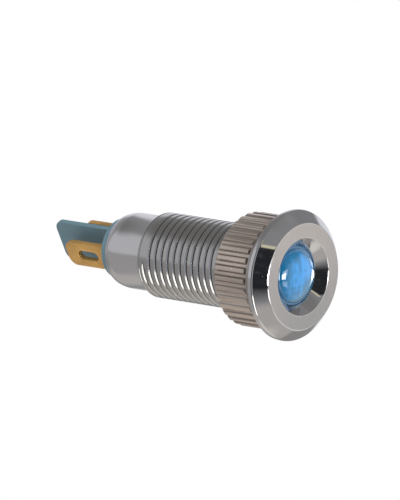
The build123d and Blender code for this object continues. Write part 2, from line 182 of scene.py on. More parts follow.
class Term:
    """A shader socket that takes part in Python arithmetic."""

    def __init__(self, shader, socket):
        self.shader = shader
        self.socket = socket

    def __add__(self, other):
        return self.shader.math("ADD", self, other)

    def __radd__(self, other):
        return self.shader.math("ADD", other, self)

    def __sub__(self, other):
        return self.shader.math("SUBTRACT", self, other)

    def __rsub__(self, other):
        return self.shader.math("SUBTRACT", other, self)

    def __mul__(self, other):
        return self.shader.math("MULTIPLY", self, other)

    def __rmul__(self, other):
        return self.shader.math("MULTIPLY", other, self)

    def __truediv__(self, other):
        return self.shader.math("DIVIDE", self, other)

    def __rtruediv__(self, other):
        return self.shader.math("DIVIDE", other, self)


class Shader:
    """A node tree that is written as expressions on Terms."""

    def __init__(self, tree):
        self.tree = tree
        tree.nodes.clear()

    def node(self, kind, inputs=None, output=0, **settings):
        """Adds a node of any type: its settings first, then the values or links of its sockets.

        It gives the Term of one output, or the node itself where output is None.
        """
        made = self.tree.nodes.new(kind)
        for name, value in settings.items():
            setattr(made, name, value)
        for key, value in (inputs or {}).items():
            if isinstance(value, Term):
                self.tree.links.new(value.socket, made.inputs[key])
            else:
                made.inputs[key].default_value = value
        return made if output is None else Term(self, made.outputs[output])

    def math(self, operation, *values):
        return self.node("ShaderNodeMath", dict(enumerate(values)), operation=operation)

    def smooth(self, value, low, high):
        """0 below low and 1 above high with a soft step between; low may be the greater of the two."""
        inputs = {"Value": value, "From Min": low, "From Max": high}
        return self.node("ShaderNodeMapRange", inputs, interpolation_type="SMOOTHSTEP")

    def mix(self, share, first, second):
        """Colour that goes from first to second."""
        first, second = (x if isinstance(x, Term) else (*x, 1.0) for x in (first, second))
        inputs = {0: share, 6: first, 7: second}
        return self.node("ShaderNodeMix", inputs, output=2, data_type="RGBA")

    def place(self, scale):
        """The object's own coordinates, scaled."""
        own = self.node("ShaderNodeTexCoord", output="Object")
        return self.node("ShaderNodeMapping", {"Vector": own, "Scale": scale})

    def noise(self, vector, scale, detail=2.0, roughness=0.5, distortion=0.0):
        inputs = {
            "Vector": vector,
            "Scale": scale,
            "Detail": detail,
            "Roughness": roughness,
            "Distortion": distortion,
        }
        return self.node("ShaderNodeTexNoise", inputs)

    def bump(self, height, strength, distance):
        return self.node("ShaderNodeBump", {"Height": height, "Strength": strength, "Distance": distance})

    def split(self, vector):
        """The vector's x, y and z."""
        parts = self.node("ShaderNodeSeparateXYZ", {0: vector}, output=None)
        return [Term(self, part) for part in parts.outputs]

    def axes(self):
        """Distance from the barrel's axis, angle round it and place along it, of a point of the object."""
        x, y, z = self.split(self.node("ShaderNodeTexCoord", output="Object"))
        radius = self.math("SQRT", x * x + z * z)
        angle = self.math("ARCTAN2", z, x)
        return radius, angle, y


def surface(name, metallic=0.0, roughness=0.5, ior=1.5, transmission=0.0, coat=0.0):
    """New material with the constants of its surface set, its Shader and its principled node."""
    material = bpy.data.materials.new(name)
    material.use_nodes = True
    shader = Shader(material.node_tree)
    constants = {
        "Metallic": metallic,
        "Roughness": roughness,
        "IOR": ior,
        "Transmission Weight": transmission,
        "Coat Weight": coat,
    }
    principled = shader.node("ShaderNodeBsdfPrincipled", constants, output=None)
    shader.node("ShaderNodeOutputMaterial", {"Surface": Term(shader, principled.outputs[0])}, output=None)
    return material, shader, principled


def scaled(shade, factor):
    """The colour made lighter or darker, up to full white."""
    return tuple(min(1.0, factor * part) for part in shade)


def feed(shader, principled, **sockets):
    """Links Terms to the principled shader's sockets, named with _ for a space."""
    for name, term in sockets.items():
        shader.tree.links.new(term.socket, principled.inputs[name.replace("_", " ")])


def chrome_finish(sizes, colours):
    """Bright plating, satin with a painted sheen on the front ring and finely turned on the barrel."""
    material, shader, principled = surface("chrome plating", metallic=1.0, roughness=0.06)
    radius, angle, along = shader.axes()
    soft = 0.04 * MM
    front = body_low.y
    ring = (
        shader.smooth(along, front + soft, front)
        * shader.smooth(radius, sizes.recess_diameter / 2, sizes.recess_diameter / 2 + 2 * soft)
        * shader.smooth(radius, sizes.ring_diameter / 2, sizes.ring_diameter / 2 - 2 * soft)
    )
    barrel = shader.smooth(along, -soft, soft) * shader.smooth(
        along, sizes.barrel_length + soft, sizes.barrel_length - soft
    )
    sleeve = shader.smooth(along, sizes.barrel_length - soft, sizes.barrel_length + soft)
    cloud = shader.noise(shader.place((320, 320, 320)), 1.0, detail=3.0)
    turned = shader.noise(shader.place((260, 9000, 260)), 1.0, detail=4.0, roughness=0.7)
    grain = shader.noise(shader.place((9000, 9000, 9000)), 1.0, detail=2.0)
    roughness = (
        0.03
        + 0.03 * cloud
        + ring * (0.26 + 0.08 * grain)
        + barrel * (0.07 + 0.10 * turned)
        + sleeve * (0.06 + 0.16 * cloud * turned)
    )
    bright = shader.mix(cloud, scaled(colours.chrome, 0.94), scaled(colours.chrome, 1.06))
    worn = shader.mix(turned, scaled(colours.barrel, 0.82), scaled(colours.barrel, 1.18))
    # Painted sheen: the ring's colour is lightest near its top, a little to the -X side, and dullest
    # opposite, where its satin grain would catch the light
    painted_sheen_share = 0.5 + 0.5 * shader.math("COSINE", angle - math.radians(100))
    dull, shining = tuple(colours.ring_painted_dull), tuple(colours.ring_painted_bright)
    satin = shader.mix(painted_sheen_share * 0.85 + (cloud - 0.5) * 0.5, dull, shining)
    height = turned * (barrel * 0.4 + sleeve * 0.45) + ring * grain * 0.3
    feed(
        shader,
        principled,
        Base_Color=shader.mix(ring, shader.mix(barrel, bright, worn), satin),
        Roughness=roughness,
        Normal=shader.bump(height, 1.0, 0.006 * MM),
    )
    return material


def nut_finish(sizes, colours):
    """Warm matt plating over the lines that the knurling wheel leaves, with painted shade on the flutes'
    walls.
    """
    material, shader, principled = surface("nut plating", metallic=1.0, roughness=0.34)
    radius, angle, along = shader.axes()
    swirl = shader.node("ShaderNodeCombineXYZ", {0: angle * 55.0, 1: along * 260.0, 2: radius * 900.0})
    lines = shader.noise(swirl, 1.0, detail=4.0, roughness=0.65)
    cloud = shader.noise(shader.place((500, 500, 500)), 1.0, detail=3.0)
    wear = shader.smooth(lines, 0.35, 0.7)
    base = shader.mix(wear, scaled(colours.nut, 0.82), scaled(colours.nut, 1.16))
    base = shader.mix(cloud * 0.3, base, scaled(colours.nut, 1.18))
    # Painted shade on the flutes' walls: 0 on a flute's floor and on the land beside it, and 1 halfway up
    # the wall between them
    rise = shader.smooth(radius, nut_high.x - sizes.flute_depth, nut_high.x)
    painted_wall_shade = 4 * rise * (1 - rise)
    feed(
        shader,
        principled,
        Base_Color=shader.mix(painted_wall_shade * 0.75, base, scaled(colours.nut, 0.30)),
        Roughness=0.20 + 0.12 * lines + 0.05 * cloud,
        Normal=shader.bump(lines, 0.35, 0.012 * MM),
    )
    return material


def gold_finish(colours):
    """Dull gold plating with the faint marks of stamping."""
    material, shader, principled = surface("gold plating", metallic=0.84, roughness=0.36)
    cloud = shader.noise(shader.place((700, 350, 700)), 1.0, detail=4.0, roughness=0.6)
    drawn = shader.noise(shader.place((5200, 420, 5200)), 1.0, detail=3.0)
    dull, shining = scaled(colours.gold, 0.84), scaled(colours.gold, 1.14)
    feed(
        shader,
        principled,
        Base_Color=shader.mix(shader.smooth(cloud, 0.3, 0.7), dull, shining),
        Roughness=0.30 + 0.14 * cloud + 0.05 * drawn,
        Normal=shader.bump(drawn, 0.3, 0.006 * MM),
    )
    return material


def insulator_finish(colours):
    """Satin moulded plastic with a fine spark-eroded skin."""
    material, shader, principled = surface("blue-grey plastic", roughness=0.42)
    skin = shader.noise(shader.place((7000, 7000, 7000)), 1.0, detail=3.0)
    cloud = shader.noise(shader.place((240, 240, 240)), 1.0, detail=2.0)
    feed(
        shader,
        principled,
        Base_Color=shader.mix(cloud, scaled(colours.insulator, 0.92), scaled(colours.insulator, 1.07)),
        Roughness=0.36 + 0.12 * skin,
        Normal=shader.bump(skin, 0.25, 0.004 * MM),
    )
    return material


def lens_finish(sizes, colours):
    """Blue plastic that scatters light, with that light painted into its colour: azure patches of glow on
    deep blue, lighter towards the middle, a teal tone on the lower side and a dark shade round the edge.
    """
    deep, teal, edge = (0.010, 0.20, 0.42), (0.10, 0.27, 0.36), (0.02, 0.17, 0.36)
    material, shader, principled = surface(
        "blue lens", roughness=0.06, ior=1.49, transmission=0.06, coat=1.0
    )
    radius, angle, _ = shader.axes()
    share = radius / (sizes.lens_dome / 2)
    streak = shader.noise(shader.place((1500, 900, 520)), 1.0, detail=4.0, roughness=0.6, distortion=0.5)
    patch = shader.noise(shader.place((620, 620, 620)), 1.0, detail=3.0, distortion=0.8)
    # Painted glow: azure patches, lighter towards the middle of the lens
    lit = shader.smooth(streak * 0.60 + patch * 0.70 - share * share * 0.22, 0.42, 0.74)
    # Painted light: a teal tone on the lower side
    downwards = shader.math("COSINE", angle + math.radians(60)) * share
    low = shader.smooth(downwards + (patch - 0.5) * 0.9, 0.15, 0.95)
    base = shader.mix(lit, deep, tuple(colours.lens))
    base = shader.mix(low * 0.7, base, teal)
    # Painted shade: a dark ring round the lens's edge
    base = shader.mix(shader.smooth(share, 0.93, 1.02), base, edge)
    feed(
        shader,
        principled,
        Base_Color=base,
        Roughness=0.05 + 0.05 * patch,
        Normal=shader.bump(streak, 0.25, 0.02 * MM),
    )
    return material


def rubber_finish(colours):
    """Matt black rubber with a dusty bloom."""
    dusty = (0.035, 0.034, 0.033)
    material, shader, principled = surface("black rubber", roughness=0.7)
    skin = shader.noise(shader.place((4000, 4000, 4000)), 1.0, detail=3.0)
    bloom = shader.noise(shader.place((600, 600, 600)), 1.0, detail=3.0)
    feed(
        shader,
        principled,
        Base_Color=shader.mix(bloom, tuple(colours.rubber), dusty),
        Roughness=0.6 + 0.25 * skin,
        Normal=shader.bump(skin, 0.4, 0.01 * MM),
    )
    return material


def speckled_finish(
    name, dark, light, grain=2500.0, metallic=0.0, transmission=0.0, roughness=0.4, ior=1.5
):
    """Two near tones and a fine skin, for the lock washer and the pieces inside the barrel."""
    material, shader, principled = surface(
        name, metallic=metallic, roughness=roughness, transmission=transmission, ior=ior
    )
    cloud = shader.noise(shader.place((grain / 4, grain / 4, grain / 4)), 1.0, detail=3.0)
    skin = shader.noise(shader.place((grain, grain, grain)), 1.0, detail=3.0)
    feed(
        shader,
        principled,
        Base_Color=shader.mix(cloud, dark, light),
        Roughness=roughness + 0.15 * (skin - 0.5),
        Normal=shader.bump(skin, 0.25, 0.006 * MM),
    )
    return material


def start_clean():
    """Object mode with nothing selected."""
    if bpy.context.object and bpy.context.object.mode != "OBJECT":
        bpy.ops.object.mode_set(mode="OBJECT")
    bpy.ops.object.select_all(action="DESELECT")


def make_active(piece):
    start_clean()
    piece.select_set(True)
    bpy.context.view_layer.objects.active = piece


def edit_all(piece):
    """Edit mode on the piece, with everything selected."""
    make_active(piece)
    bpy.ops.object.mode_set(mode="EDIT")
    bpy.ops.mesh.select_all(action="SELECT")


def draw_profile(name, points):
    """A line of edges through the points, each extruded from the last, out of a plane merged to a point."""
    start_clean()
    bpy.ops.mesh.primitive_plane_add(size=MM)
    piece = bpy.context.object
    piece.name = name
    piece.data.name = name
    bpy.ops.object.mode_set(mode="EDIT")
    bpy.ops.mesh.select_all(action="SELECT")
    bpy.ops.mesh.merge(type="CENTER")
    points = [Vector(point) for point in points]
    bpy.ops.transform.translate(value=points[0])
    for here, there in zip(points, points[1:]):
        bpy.ops.mesh.extrude_vertices_move(TRANSFORM_OT_translate={"value": there - here})
    return piece


def merge_points(distance=MERGE_DISTANCE):
    """Merges the edited points that meet, such as the two ends of an outline."""
    bpy.ops.mesh.select_all(action="SELECT")
    bpy.ops.mesh.remove_doubles(threshold=distance)


def spin_round_barrel(steps, copies=False):
    """Spins what is edited a full turn round the barrel's axis, as one skin or as copies."""
    bpy.ops.mesh.select_all(action="SELECT")
    bpy.ops.mesh.spin(steps=steps, dupli=copies, angle=FULL_TURN, center=(0, 0, 0), axis=(0, 1, 0))


def face_outwards():
    """Turns the faces of the edited shell outwards, and ends the edit."""
    bpy.ops.mesh.select_all(action="SELECT")
    bpy.ops.mesh.normals_make_consistent(inside=False)
    bpy.ops.object.mode_set(mode="OBJECT")


def turn_on_lathe(name, outline, steps):
    """A closed turned shell. The outline is its section as (radius, place along the barrel) points."""
    piece = draw_profile(name, [(radius, along, 0) for radius, along in [*outline, outline[0]]])
    merge_points()
    spin_round_barrel(steps)
    merge_points()
    face_outwards()
    return piece


def apply_modifier(piece, kind, **settings):
    make_active(piece)
    modifier = piece.modifiers.new(kind.title(), kind)
    for name, value in settings.items():
        setattr(modifier, name, value)
    bpy.ops.object.modifier_apply(modifier=modifier.name)


def round_edges(piece, width, angle, segments=3):
    apply_modifier(
        piece,
        "BEVEL",
        width=width,
        segments=segments,
        limit_method="ANGLE",
        angle_limit=math.radians(angle),
        use_clamp_overlap=True,
    )


def cut_away(piece, cutter):
    """Takes the cutter's form out of the piece, and deletes it. Both are closed, as the solver needs."""
    apply_modifier(piece, "BOOLEAN", object=cutter, operation="DIFFERENCE", solver="MANIFOLD")
    mesh = cutter.data
    bpy.data.objects.remove(cutter)
    bpy.data.meshes.remove(mesh)


def smooth_shading(piece, angle):
    make_active(piece)
    bpy.ops.object.shade_smooth_by_angle(angle=math.radians(angle))


def clean_mesh(piece):
    """Merges the slivers that a cut leaves, and drops loose bits."""
    edit_all(piece)
    bpy.ops.mesh.remove_doubles(threshold=SLIVER)
    bpy.ops.mesh.dissolve_degenerate(threshold=SLIVER)
    bpy.ops.mesh.delete_loose()
    bpy.ops.object.mode_set(mode="OBJECT")


def dress(piece, material, body, slot, *nodes):
    """Gives a finished piece its finish and body, and hides the CAD nodes that it stands for; its slot is
    not used.
    """
    piece.data.materials.clear()
    piece.data.materials.append(material)
    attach(piece, body)
    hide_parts(*nodes)


def repaint(node, material):
    """Gives a CAD node a new finish in its own material slot."""
    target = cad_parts[node]
    if not target.data.materials:
        target.data.materials.append(material)
    for index in range(len(target.data.materials)):
        target.data.materials[index] = material


def angles(span, count):
    """Angles from 0 to the span, in count equal steps."""
    return [index / count * span for index in range(count + 1)]


def quarter_ellipse(centre_along, half_width, rise, count):
    """Points from the tip of a dome to its foot, as (radius, place along the barrel); the tip faces -Y."""
    return [
        (half_width * math.sin(t), centre_along - rise * math.cos(t)) for t in angles(math.pi / 2, count)
    ]


def rounded(before, corner, after, radius, count=6):
    """Points of the arc that rounds a corner of an outline."""
    corner = Vector(corner)
    back, ahead = (Vector(before) - corner).normalized(), (Vector(after) - corner).normalized()
    half = back.angle(ahead) / 2
    centre = corner + (back + ahead).normalized() * radius / math.sin(half)
    start, end = (corner + way * radius / math.tan(half) - centre for way in (back, ahead))
    return [tuple(centre + radius * start.slerp(end, index / count)) for index in range(count + 1)]


def extrude_closed(step):
    """Closes the edited outline, fills it and gives it a thickness, as a shell facing outwards."""
    merge_points()
    bpy.ops.mesh.edge_face_add()
    bpy.ops.mesh.extrude_region_move(TRANSFORM_OT_translate={"value": step})
    face_outwards()


def lift_end(piece, indices, way, reach):
    """Moves one end of a swept piece, and what is joined to it within reach by a share of that move."""
    make_active(piece)
    bpy.ops.object.mode_set(mode="EDIT")
    bpy.ops.mesh.select_all(action="DESELECT")
    bpy.ops.object.mode_set(mode="OBJECT")
    for index in indices:
        piece.data.vertices[index].select = True
    bpy.ops.object.mode_set(mode="EDIT")
    bpy.ops.transform.translate(
        value=way,
        use_proportional_edit=True,
        use_proportional_connected=True,
        proportional_edit_falloff="SMOOTH",
        proportional_size=reach,
    )
    bpy.ops.object.mode_set(mode="OBJECT")


def thread_cutter(sizes):
    """Helical solid whose section is the thread's groove, lifted out of the surface at both ends."""
    radius, depth, width = sizes.barrel_diameter / 2, sizes.thread_depth, sizes.thread_width
    start, end = sizes.thread_start, sizes.thread_end
    turns = (end - start) / sizes.thread_pitch
    steps = round(turns * STEPS_PER_THREAD_TURN)
    side = [(radius + GROOVE_CUTTER_MARGIN, GROOVE_CUTTER_HALF * width)]
    side += [(radius - down * depth, half * width) for down, half in GROOVE_SIDE]
    section = side + [(reach, -half) for reach, half in reversed(side)]
    points = [(0, start + along, reach) for reach, along in section]
    cutter = draw_profile("thread cutter", [*points, points[0]])
    merge_points()
    bpy.ops.object.mode_set(mode="OBJECT")
    apply_modifier(
        cutter,
        "SCREW",
        axis="Y",
        angle=turns * FULL_TURN,
        screw_offset=end - start,
        iterations=1,
        steps=steps,
        render_steps=steps,
        use_merge_vertices=False,
    )
    lift = depth + 2 * GROOVE_CUTTER_MARGIN
    last = turns * FULL_TURN
    outwards = (lift * math.sin(last), 0, lift * math.cos(last))
    size, count = len(section), len(cutter.data.vertices)
    lift_end(cutter, range(size), (0, 0, lift), GROOVE_RUN_OUT)
    lift_end(cutter, range(count - size, count), outwards, GROOVE_RUN_OUT)
    edit_all(cutter)
    bpy.ops.mesh.fill_holes(sides=0)
    face_outwards()
    return cutter


def turn_body(sizes, colours):
    """Bezel, threaded barrel, collar and rolled sleeve."""
    front, rear = body_low.y, body_high.y
    rim = body_high.x
    barrel, sleeve = sizes.barrel_diameter / 2, sizes.sleeve_diameter / 2
    bore, lip, window = sizes.bore_diameter / 2, sizes.lip_diameter / 2, sizes.window_diameter / 2
    groove_floor = seal_low.y
    groove_outer = seal_high.x + sizes.seal_clearance
    groove_inner = seal_high.x - (seal_high.y - seal_low.y) - sizes.seal_clearance
    window_edge = (window, front + sizes.recess_depth)
    mouth = (sizes.recess_diameter / 2, front)
    ring_edge = (sizes.ring_diameter / 2, front)
    rim_edge = (rim, -sizes.rim_height)
    rim_back = (rim, -sizes.rim_break)
    roll = [
        (lip + (sleeve - lip) * math.cos(t), rear - sizes.roll_length * (1 - math.sin(t)))
        for t in angles(math.pi / 2, 14)
    ]
    outline = [
        (window, sizes.shoulder_depth),
        window_edge,
        *rounded(window_edge, mouth, ring_edge, sizes.mouth_round),
        *rounded(mouth, ring_edge, rim_edge, sizes.ring_round),
        *rounded(ring_edge, rim_edge, rim_back, sizes.rim_round),
        rim_back,
        (rim - sizes.rim_break, 0),
        (groove_outer, 0),
        (groove_outer, groove_floor),
        (groove_inner, groove_floor),
        (groove_inner, 0),
        (barrel, 0),
        (barrel, sizes.collar_line - sizes.collar_line_depth),
        (barrel - sizes.collar_line_depth, sizes.collar_line),
        (barrel, sizes.collar_line + sizes.collar_line_depth),
        (barrel, sizes.barrel_length - sizes.barrel_bevel),
        (barrel - sizes.barrel_bevel, sizes.barrel_length),
        (sleeve, sizes.barrel_length),
        *roll,
        (lip, rear - sizes.lip_length + bore - lip),
        (bore, rear - sizes.lip_length),
        (bore, sizes.shoulder_depth),
    ]
    body = turn_on_lathe("lamp_body", outline, BODY_STEPS)
    round_edges(body, sizes.edge_round, angle=25.0)
    cut_away(body, thread_cutter(sizes))
    clean_mesh(body)
    smooth_shading(body, angle=28.0)
    dress(body, chrome_finish(sizes, colours), "lamp", "chrome", "body")


def cut_nut(sizes, colours):
    """Bevelled ring with straight flutes all round."""
    outer, bore, bevel = nut_high.x, sizes.nut_bore / 2, sizes.nut_bevel
    front, rear = nut_low.y, nut_high.y
    outline = [
        (bore + bevel, front),
        (outer - bevel, front),
        (outer, front + bevel),
        (outer, rear - bevel),
        (outer - bevel, rear),
        (bore + bevel, rear),
        (bore, rear - bevel),
        (bore, front + bevel),
    ]
    nut = turn_on_lathe("knurled_nut_ring", outline, STEPS_PER_FLUTE * sizes.flutes)
    over = FLUTE_CUTTER_MARGIN
    slope = (sizes.flute_width - sizes.flute_floor) / 2 / sizes.flute_depth
    half_top = sizes.flute_width / 2 + slope * over
    section = [
        (outer - sizes.flute_depth, -sizes.flute_floor / 2),
        (outer + over, -half_top),
        (outer + over, half_top),
        (outer - sizes.flute_depth, sizes.flute_floor / 2),
    ]
    before = Vector((0, front - over, 0))
    points = [TOWARDS_LUG * reach + ALONG_WIDTH * side + before for reach, side in section]
    cutter = draw_profile("flute cutter", [*points, points[0]])
    extrude_closed((0, rear - front + 2 * over, 0))
    edit_all(cutter)
    spin_round_barrel(sizes.flutes, copies=True)
    merge_points(SLIVER)
    face_outwards()
    cut_away(nut, cutter)
    clean_mesh(nut)
    round_edges(nut, sizes.flute_round, angle=20.0)
    smooth_shading(nut, angle=25.0)
    dress(nut, nut_finish(sizes, colours), "knurled_nut", "plated_nut", "nut")


def mould_seal(colours):
    """Round section ring that stands out of its groove."""
    minor = (seal_high.y - seal_low.y) / 2
    start_clean()
    bpy.ops.mesh.primitive_torus_add(
        major_radius=seal_high.x - minor,
        minor_radius=minor,
        major_segments=SEAL_STEPS,
        minor_segments=24,
        location=(0, (seal_low.y + seal_high.y) / 2, 0),
        rotation=(math.pi / 2, 0, 0),
    )
    seal = bpy.context.object
    seal.name = "panel_seal_ring"
    bpy.ops.object.transform_apply(location=True, rotation=True, scale=True)
    smooth_shading(seal, angle=60.0)
    dress(seal, rubber_finish(colours), "lamp", "black_rubber", "panel_seal")


def mould_lens(sizes, colours):
    """Domed lens on its stem, with the flange behind and the pocket for the bulb."""
    base = body_low.y + sizes.recess_depth + sizes.lens_ring
    stem = sizes.window_diameter / 2 - sizes.lens_clearance
    flange, rear = lens_high.x, lens_high.y
    seat = sizes.shoulder_depth + sizes.lens_gasket
    dome = quarter_ellipse(base, sizes.lens_dome / 2, sizes.lens_rise, count=24)
    pocket = quarter_ellipse(rear, sizes.lens_pocket / 2, sizes.lens_pocket_depth, count=16)
    outline = [*dome, (stem, base), (stem, seat), (flange, seat), (flange, rear), *reversed(pocket)]
    lens = turn_on_lathe("blue_lens_dome", outline, LENS_STEPS)
    clean_mesh(lens)
    smooth_shading(lens, angle=35.0)
    dress(lens, lens_finish(sizes, colours), "lamp", "blue_lens", "lens")


def stamp_lug(name, node, side, sizes, material):
    """Flat blade with rounded tip corners, a slotted eye and a narrower tail."""
    low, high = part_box(node)
    tip, tail_end = high.y, low.y
    inner_end = insulator_high.y - sizes.fin_length - sizes.lug_embedded
    half, tail_half, corner = sizes.lug_width / 2, sizes.tail_width / 2, sizes.lug_corner
    right = [(tail_half, tail_end), (tail_half, inner_end), (half, inner_end)]
    right += [
        (half - corner * (1 - math.cos(t)), tip - corner * (1 - math.sin(t)))
        for t in angles(math.pi / 2, 8)
    ]
    outline = right + [(-width, along) for width, along in reversed(right)]
    eye_round = sizes.eye_width / 2
    straight = sizes.eye_length / 2 - eye_round
    eye_middle = tip - sizes.eye_from_tip
    arc = angles(math.pi, 12)
    eye = [(eye_round * math.cos(t), eye_middle + straight + eye_round * math.sin(t)) for t in arc]
    eye += [(-eye_round * math.cos(t), eye_middle - straight - eye_round * math.sin(t)) for t in arc]

    def on_lug(shape, depth):
        """The shape's points across the lug, at a depth from its middle plane."""
        middle = TOWARDS_LUG * (sizes.lug_offset * side + depth)
        return [middle + ALONG_WIDTH * width + Vector((0, along, 0)) for width, along in [*shape, shape[0]]]

    lug = draw_profile(name, on_lug(outline, -sizes.lug_thickness / 2))
    extrude_closed(TOWARDS_LUG * sizes.lug_thickness)
    cutter = draw_profile("eye cutter", on_lug(eye, -sizes.lug_thickness))
    extrude_closed(TOWARDS_LUG * 2 * sizes.lug_thickness)
    cut_away(lug, cutter)
    clean_mesh(lug)
    round_edges(lug, sizes.lug_edge, angle=40.0)
    smooth_shading(lug, angle=35.0)
    dress(lug, material, "lamp", "gold_plate", node)


# Cards of the studio round the object, as its metal shows them, each over the ones before it: azimuth,
# elevation, half width, half height, softness of the sides and of the top and bottom, all in degrees, and
# colour.
STUDIO_BASE = (0.30, 0.30, 0.31)
STUDIO_CARDS = (
    (0, 90, 360, 34, 0, 14, (0.24, 0.235, 0.235)),  # ceiling
    (0, -90, 360, 52, 0, 14, (0.52, 0.50, 0.485)),  # floor round the object
    (0, -90, 360, 21, 0, 10, (0.82, 0.80, 0.75)),  # floor right below it
    (-168, -47, 34, 16, 14, 14, (0.54, 0.52, 0.50)),  # floor behind it
    (104, -46, 24, 18, 12, 8, (0.32, 0.315, 0.31)),  # floor on the right
    (92, 26, 26, 30, 12, 16, (0.27, 0.27, 0.28)),  # corner above the right sweep
    (116, -4, 20, 17, 10, 8, (0.84, 0.86, 0.92)),  # sweep on the right
    (137, 4, 12, 25, 10, 12, (0.80, 0.82, 0.88)),  # its taller part towards the rear
    (165, 8, 22, 20, 12, 12, (0.46, 0.46, 0.51)),  # rear wall
    (-137, 14, 28, 24, 14, 14, (0.60, 0.61, 0.64)),  # left wall towards the rear
    (-138, -24, 26, 22, 14, 3, (0.40, 0.395, 0.40)),  # floor before that wall
    (178, 52, 30, 8, 10, 10, (0.22, 0.22, 0.22)),  # dark gap above the rear wall
    (-101, 0, 12, 50, 6, 14, (0.09, 0.09, 0.095)),  # dark edge on the left
    (-69, 10, 8, 40, 4, 12, (0.50, 0.53, 0.59)),  # bluish strip beside it
    (-70, -44, 13, 16, 6, 6, (2.5, 2.5, 2.4)),  # low lamp on the left
    (42, -14, 36, 34, 16, 14, (0.92, 0.90, 0.88)),  # wall before the ring
    (-42, -2, 22, 23, 6, 26, (0.035, 0.035, 0.04)),  # foot of the dark screen round the camera
    (-46, 15, 16, 30, 4, 3, (0.024, 0.026, 0.030)),  # dark screen round the camera
    (-24, 10, 14, 26, 4, 3, (0.024, 0.026, 0.030)),  # its lower half on the right
    (-36, 47.5, 10, 1.6, 1, 1, (0.75, 0.72, 0.52)),  # yellowish tube above it
    (-17, 37.5, 11, 1.6, 2, 1, (0.75, 0.72, 0.52)),  # the tube's lower end
    (-8, 3, 14, 7, 2, 2, (3.5, 3.5, 3.6)),  # window
    (-6, -22, 14, 6.5, 2, 2, (2.6, 2.6, 2.7)),  # its reflection in the table
    (-15, -4, 14, 7, 3, 3, (14.0, 14.0, 14.0)),  # torch between the two
)
ROOM_LIGHT = (0.60, 0.61, 0.63)
CLUTTER = (0.6, 0.6, 0.6)
CLUTTER_SHARE = 0.06
WHITE_THROUGH_GLASS = 0.85


def studio_world():
    """White behind the object, plain room light on it, and the studio's cards in its metal."""
    world = bpy.data.worlds.new("studio")
    bpy.context.scene.world = world
    world.use_nodes = True
    shader = Shader(world.node_tree)
    direction = shader.node("ShaderNodeTexCoord", output="Generated")
    x, y, z = shader.split(direction)
    azimuth = shader.math("ARCTAN2", x, y * -1.0)
    elevation = shader.math("ARCSINE", z)
    seen = STUDIO_BASE
    for card_azimuth, card_elevation, half_width, half_height, soft_sides, soft_ends, shade in STUDIO_CARDS:
        up = shader.math("ABSOLUTE", elevation - math.radians(card_elevation))
        top, edge = math.radians(half_height), math.radians(soft_ends) / 2
        mask = shader.smooth(up, top + edge, top - edge)
        if half_width < 180:
            turn = azimuth - math.radians(card_azimuth)
            across = shader.math("ABSOLUTE", shader.math("WRAP", turn, math.pi, -math.pi))
            side, edge = math.radians(half_width), math.radians(soft_sides) / 2
            mask = mask * shader.smooth(across, side + edge, side - edge)
        seen = shader.mix(mask, seen, shade)
    clutter = shader.noise(direction, 9.0, detail=4.0, roughness=0.6)
    seen = shader.mix(shader.smooth(clutter, 0.48, 0.75) * CLUTTER_SHARE, seen, CLUTTER)
    rays = ("Camera", "Glossy", "Transmission")
    camera, glossy, clear = (shader.node("ShaderNodeLightPath", output=f"Is {ray} Ray") for ray in rays)
    shade = shader.mix(glossy, ROOM_LIGHT, seen)
    white = shader.math("MAXIMUM", camera, clear * WHITE_THROUGH_GLASS)
    shade = shader.mix(white, shade, (1.0, 1.0, 1.0))
    background = shader.node("ShaderNodeBackground", {"Color": shade, "Strength": 1.0})
    shader.node("ShaderNodeOutputWorld", {"Surface": background}, output=None)
    world.cycles.sampling_method = "NONE"


# Place along the barrel above the floor's middle, at which the lamps aim
STAGE_MIDDLE = 0.01

# The floor lies this far below the axis, and its own white grows from a share near its middle to full
FLOOR_DROP = 0.034
FLOOR_RADIUS = 0.6
FLOOR_WHITE = 0.72
WHITE_FROM, WHITE_FULL = 0.03, 0.07

# Camera at the photograph's angle
CAMERA_AZIMUTH, CAMERA_ELEVATION = math.radians(-49.19375), math.radians(10.49625)
CAMERA_PLACE = (-0.63121454, -0.53408365, 0.15549841)
CAMERA_LENS = 439.7


def lay_floor(colours):
    """Pale floor some way below the part, white where it runs out to the background."""
    start_clean()
    bpy.ops.mesh.primitive_circle_add(
        vertices=96, radius=FLOOR_RADIUS, fill_type="NGON", location=(0, STAGE_MIDDLE, -FLOOR_DROP)
    )
    floor = bpy.context.object
    floor.name = "floor"
    material = bpy.data.materials.new("floor paint")
    material.use_nodes = True
    shader = Shader(material.node_tree)
    own = shader.node("ShaderNodeTexCoord", output="Object")
    reach = shader.node("ShaderNodeVectorMath", {0: own}, output="Value", operation="LENGTH")
    paint = shader.node("ShaderNodeBsdfDiffuse", {"Color": (*colours.floor, 1.0)})
    glow = shader.node("ShaderNodeEmission", {"Color": (1, 1, 1, 1), "Strength": 1.0})
    camera = shader.node("ShaderNodeLightPath", output="Is Camera Ray")
    clear = shader.node("ShaderNodeLightPath", output="Is Transmission Ray")
    lit = FLOOR_WHITE + (1 - FLOOR_WHITE) * shader.smooth(reach, WHITE_FROM, WHITE_FULL)
    share = shader.math("MAXIMUM", camera, clear) * lit
    blend = shader.node("ShaderNodeMixShader", {0: share, 1: paint, 2: glow})
    shader.node("ShaderNodeOutputMaterial", {"Surface": blend}, output=None)
    floor.data.materials.append(material)
    floor.visible_glossy = False


